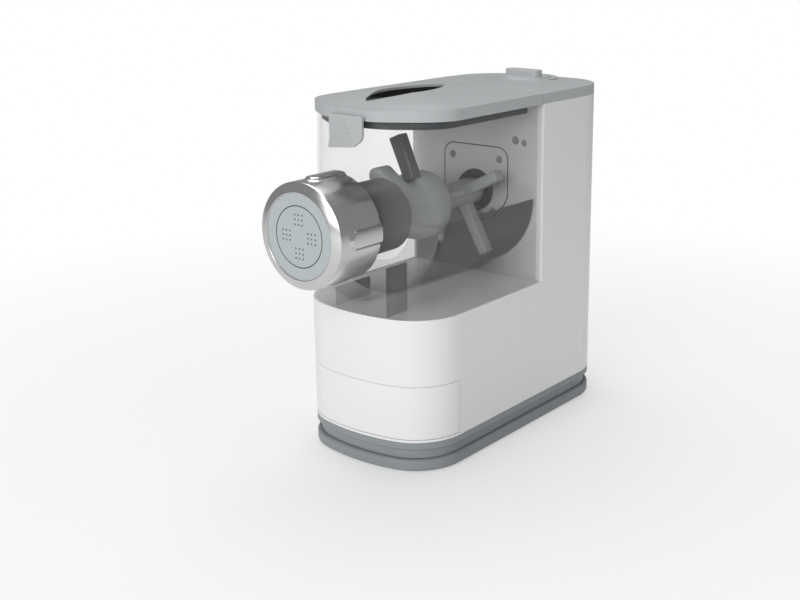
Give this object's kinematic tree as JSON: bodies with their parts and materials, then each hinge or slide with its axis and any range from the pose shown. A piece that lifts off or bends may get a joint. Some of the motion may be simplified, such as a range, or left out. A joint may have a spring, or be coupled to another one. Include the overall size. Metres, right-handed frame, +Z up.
{
  "type": "electric pasta maker",
  "caption": "Upright kitchen pasta maker with clear mixing chamber, auger paddle, screwed shaping head, tilting lid, control knob and front drawer.",
  "frame": {"origin": "Centre of the bounding box on the worktop plane, under the machine.", "axes": "+Z up, -Y is the front with the shaping head, +X to the right seen from the front."},
  "size_m": [0.135, 0.315, 0.2846],
  "materials": {
    "white_shell": "glossy white moulded plastic",
    "gray_base": "satin cool gray plastic",
    "gray_top": "satin cool gray plastic",
    "dark_skirt": "dark gray inner skirt",
    "dark_gray": "dark gray plastic",
    "gray_disc": "light cool gray plastic",
    "gray_paddle": "mid gray plastic",
    "clear_chamber": "clear smoke plastic",
    "steel_nut": "brushed steel",
    "steel_shaft": "turned steel",
    "foot_rubber": "soft rubber",
    "seal_rubber": "black seal rubber",
    "black_plastic": "black plastic",
    "gear_plastic": "moulded gear plastic",
    "case_metal": "painted metal",
    "board": "circuit board"
  },
  "bodies": {
    "housing": {"housing_shell": "white_shell", "power_inlet": "black_plastic", "base_frame": "gray_base", "base_tray": "gray_base", "rubber_foot_1": "foot_rubber", "rubber_foot_2": "foot_rubber", "rubber_foot_3": "foot_rubber", "rubber_foot_4": "foot_rubber", "top_cap": "gray_top", "knob_ring": "gray_top", "selector_switch": "black_plastic", "control_board": "board", "drive_seal": "seal_rubber", "seal_plate": "white_shell", "gearbox_case": "case_metal", "motor_can": "case_metal", "drawer_guide_left": "white_shell", "drawer_guide_right": "white_shell"},
    "knob": {"selector_knob": "gray_top"},
    "drive": {"drive_shaft": "steel_shaft", "output_gear": "gear_plastic"},
    "motor": {"motor_rotor": "steel_shaft"},
    "chamber": {"mixing_chamber": "clear_chamber", "extrusion_tube": "dark_gray"},
    "paddle": {"stirring_paddle": "gray_paddle"},
    "disc": {"shaping_disc": "gray_disc"},
    "nut": {"clamp_nut": "steel_nut"},
    "lid": {"lid_panel": "gray_top", "lid_skirt": "dark_skirt"},
    "latch": {"lid_latch": "gray_top"},
    "drawer": {"storage_drawer": "white_shell"}
  },
  "joints": [
    {"name": "knob_turn", "type": "hinge", "parent": "housing", "child": "knob", "pos_m": [0, 0.1212, 0.28], "axis": [0, 0, 1], "range_deg": [-45, 45]},
    {"name": "drive_spin", "type": "hinge", "parent": "housing", "child": "drive", "pos_m": [0, 0.06, 0.1905], "axis": [0, -1, 0], "continuous": true},
    {"name": "motor_spin", "type": "hinge", "parent": "housing", "child": "motor", "pos_m": [0, 0.1, 0.15], "axis": [0, -1, 0], "continuous": true},
    {"name": "chamber_slide", "type": "slide", "parent": "housing", "child": "chamber", "axis": [0, -1, 0], "range_m": [0, 0.12]},
    {"name": "paddle_spin", "type": "hinge", "parent": "chamber", "child": "paddle", "pos_m": [0, 0, 0.1905], "axis": [0, -1, 0], "continuous": true},
    {"name": "nut_turn", "type": "hinge", "parent": "disc", "child": "nut", "pos_m": [0, -0.13, 0.1905], "axis": [0, -1, 0], "range_deg": [0, 540]},
    {"name": "disc_slide", "type": "slide", "parent": "chamber", "child": "disc", "axis": [0, -1, 0], "range_m": [0, 0.0091]},
    {"name": "lid_tilt", "type": "hinge", "parent": "chamber", "child": "lid", "pos_m": [0, 0.0506, 0.2835], "axis": [-1, 0, 0], "range_deg": [0, 70]},
    {"name": "latch_pull", "type": "hinge", "parent": "lid", "child": "latch", "pos_m": [0, -0.1041, 0.2706], "axis": [-1, 0, 0], "range_deg": [0, 15], "stiffness_Nm_per_rad": 0.1},
    {"name": "drawer_slide", "type": "slide", "parent": "housing", "child": "drawer", "axis": [0, -1, 0], "range_m": [0, 0.09]}
  ],
  "couplings": [
    {"joint": "motor_spin", "follows": "drive_spin", "ratio": -2.8571},
    {"joint": "paddle_spin", "follows": "drive_spin", "ratio": 1},
    {"joint": "disc_slide", "follows": "nut_turn", "m_per_rad": 0.00095493}
  ]
}
